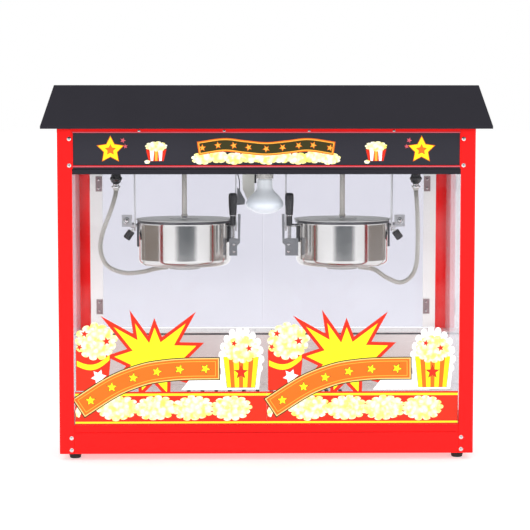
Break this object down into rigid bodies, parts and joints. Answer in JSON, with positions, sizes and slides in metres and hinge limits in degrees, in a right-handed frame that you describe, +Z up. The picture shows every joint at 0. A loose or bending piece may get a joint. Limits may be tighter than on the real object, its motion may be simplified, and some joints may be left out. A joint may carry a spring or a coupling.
{
  "type": "popcorn cart",
  "caption": "Countertop popcorn cabinet: red frame, black hip roof, glass sides, tilting steel kettles with driven stirrers, reflector lamp, rear doors and crumb drawer.",
  "frame": {"origin": "centre of the footprint, on the counter the feet stand on", "axes": "+X to the customer's right, +Y from the customer's glass to the operator's doors, +Z up"},
  "size_m": [0.9, 0.5, 0.758],
  "materials": {
    "red_paint": "gloss powder coat",
    "black_paint": "satin powder coat",
    "sign_print": "printed sheet",
    "clear_glass": "clear",
    "door_acrylic": "clear",
    "pot_steel": "brushed",
    "sheet_steel": "brushed",
    "plated_steel": "bright plated",
    "stile_paint": "satin",
    "rubber": "matte",
    "black_plastic": "semi-gloss",
    "frosted_glass": "frosted"
  },
  "bodies": {
    "cabinet": {"base_pan": "red_paint", "front_left_post": "red_paint", "front_right_post": "red_paint", "rear_left_post": "red_paint", "rear_right_post": "red_paint", "front_left_foot": "rubber", "front_right_foot": "rubber", "rear_left_foot": "rubber", "rear_right_foot": "rubber", "popcorn_floor": "sheet_steel", "rear_ledge": "sheet_steel", "front_glass": "clear_glass", "left_glass": "clear_glass", "right_glass": "clear_glass", "header_frame": "red_paint", "sign_panel": "sign_print", "header_floor": "black_paint", "roof": "black_paint", "lamp_socket": "black_plastic", "lamp_bulb": "frosted_glass", "left_gear_motor": "sheet_steel", "left_kettle_hanger": "sheet_steel", "left_plug": "black_plastic", "left_conduit": "plated_steel", "right_gear_motor": "sheet_steel", "right_kettle_hanger": "sheet_steel", "right_plug": "black_plastic", "right_conduit": "plated_steel"},
    "left_kettle": {"left_pot": "pot_steel", "left_lid_plate": "pot_steel", "left_lever_bracket": "sheet_steel"},
    "left_flap": {"left_lid_flap": "pot_steel"},
    "left_release": {"left_release_grip": "black_plastic"},
    "left_lock": {"left_lock_knob": "black_plastic"},
    "left_stir": {"left_stirrer": "plated_steel"},
    "left_spindle": {"left_motor_spindle": "plated_steel"},
    "left_rod": {"left_drive_rod": "plated_steel"},
    "left_door_leaf": {"left_door": "door_acrylic", "left_door_stile": "stile_paint", "left_door_upper_hinge": "plated_steel", "left_door_lower_hinge": "plated_steel", "left_door_knob": "black_plastic"},
    "right_kettle": {"right_pot": "pot_steel", "right_lid_plate": "pot_steel", "right_lever_bracket": "sheet_steel"},
    "right_flap": {"right_lid_flap": "pot_steel"},
    "right_release": {"right_release_grip": "black_plastic"},
    "right_lock": {"right_lock_knob": "black_plastic"},
    "right_stir": {"right_stirrer": "plated_steel"},
    "right_spindle": {"right_motor_spindle": "plated_steel"},
    "right_rod": {"right_drive_rod": "plated_steel"},
    "right_door_leaf": {"right_door": "door_acrylic", "right_door_stile": "stile_paint", "right_door_upper_hinge": "plated_steel", "right_door_lower_hinge": "plated_steel", "right_door_knob": "black_plastic"},
    "left_kettle_switch_rocker": {"left_kettle_switch": "black_plastic"},
    "lamp_switch_rocker": {"lamp_switch": "black_plastic"},
    "right_kettle_switch_rocker": {"right_kettle_switch": "black_plastic"},
    "drawer": {"crumb_drawer": "sheet_steel"}
  },
  "joints": [
    {"name": "left_kettle_tilt", "type": "hinge", "parent": "cabinet", "child": "left_kettle", "pos_m": [-0.1713, 0, 0.464], "axis": [1, 0, 0], "range_deg": [0, 90], "deforming": ["left_conduit"]},
    {"name": "left_flap_hinge", "type": "hinge", "parent": "left_kettle", "child": "left_flap", "pos_m": [-0.1713, -0.017, 0.47875], "axis": [-1, 0, 0], "range_deg": [0, 70]},
    {"name": "left_grip_pull", "type": "slide", "parent": "left_kettle", "child": "left_release", "axis": [0, 0, 1], "range_m": [0, 0.008]},
    {"name": "left_lock_turn", "type": "hinge", "parent": "cabinet", "child": "left_lock", "pos_m": [-0.2811, 0, 0.4561], "axis": [-0.5736, 0, -0.8192], "range_deg": [0, 180]},
    {"name": "left_stirrer_spin", "type": "hinge", "parent": "left_kettle", "child": "left_stir", "pos_m": [-0.1713, 0, 0.464], "axis": [0, 0, 1], "continuous": true},
    {"name": "left_spindle_spin", "type": "hinge", "parent": "cabinet", "child": "left_spindle", "pos_m": [-0.1713, 0, 0.606], "axis": [0, 0, 1], "continuous": true},
    {"name": "left_rod_lift", "type": "slide", "parent": "left_spindle", "child": "left_rod", "axis": [0, 0, 1], "range_m": [0, 0.108]},
    {"name": "left_door_hinge", "type": "hinge", "parent": "cabinet", "child": "left_door_leaf", "pos_m": [-0.391, 0.2228, 0], "axis": [0, 0, 1], "range_deg": [0, 110]},
    {"name": "right_kettle_tilt", "type": "hinge", "parent": "cabinet", "child": "right_kettle", "pos_m": [0.1652, 0, 0.464], "axis": [1, 0, 0], "range_deg": [0, 90], "deforming": ["right_conduit"]},
    {"name": "right_flap_hinge", "type": "hinge", "parent": "right_kettle", "child": "right_flap", "pos_m": [0.1652, -0.017, 0.47875], "axis": [-1, 0, 0], "range_deg": [0, 70]},
    {"name": "right_grip_pull", "type": "slide", "parent": "right_kettle", "child": "right_release", "axis": [0, 0, 1], "range_m": [0, 0.008]},
    {"name": "right_lock_turn", "type": "hinge", "parent": "cabinet", "child": "right_lock", "pos_m": [0.275, 0, 0.4561], "axis": [0.5736, 0, -0.8192], "range_deg": [0, 180]},
    {"name": "right_stirrer_spin", "type": "hinge", "parent": "right_kettle", "child": "right_stir", "pos_m": [0.1652, 0, 0.464], "axis": [0, 0, 1], "continuous": true},
    {"name": "right_spindle_spin", "type": "hinge", "parent": "cabinet", "child": "right_spindle", "pos_m": [0.1652, 0, 0.606], "axis": [0, 0, 1], "continuous": true},
    {"name": "right_rod_lift", "type": "slide", "parent": "right_spindle", "child": "right_rod", "axis": [0, 0, 1], "range_m": [0, 0.108]},
    {"name": "right_door_hinge", "type": "hinge", "parent": "cabinet", "child": "right_door_leaf", "pos_m": [0.391, 0.2228, 0], "axis": [0, 0, -1], "range_deg": [0, 110]},
    {"name": "left_kettle_switch_rock", "type": "hinge", "parent": "cabinet", "child": "left_kettle_switch_rocker", "pos_m": [0.1, 0.2105, 0.631], "axis": [1, 0, 0], "range_deg": [0, 16]},
    {"name": "lamp_switch_rock", "type": "hinge", "parent": "cabinet", "child": "lamp_switch_rocker", "pos_m": [0, 0.2105, 0.631], "axis": [1, 0, 0], "range_deg": [0, 16]},
    {"name": "right_kettle_switch_rock", "type": "hinge", "parent": "cabinet", "child": "right_kettle_switch_rocker", "pos_m": [-0.1, 0.2105, 0.631], "axis": [1, 0, 0], "range_deg": [0, 16]},
    {"name": "drawer_pull", "type": "slide", "parent": "cabinet", "child": "drawer", "axis": [0, 1, 0], "range_m": [0, 0.24]}
  ],
  "couplings": [
    {"joint": "left_rod_lift", "follows": "left_kettle_tilt", "m_per_rad": 0.06875},
    {"joint": "left_stirrer_spin", "follows": "left_spindle_spin", "ratio": 1},
    {"joint": "right_rod_lift", "follows": "right_kettle_tilt", "m_per_rad": 0.06875},
    {"joint": "right_stirrer_spin", "follows": "right_spindle_spin", "ratio": 1}
  ]
}
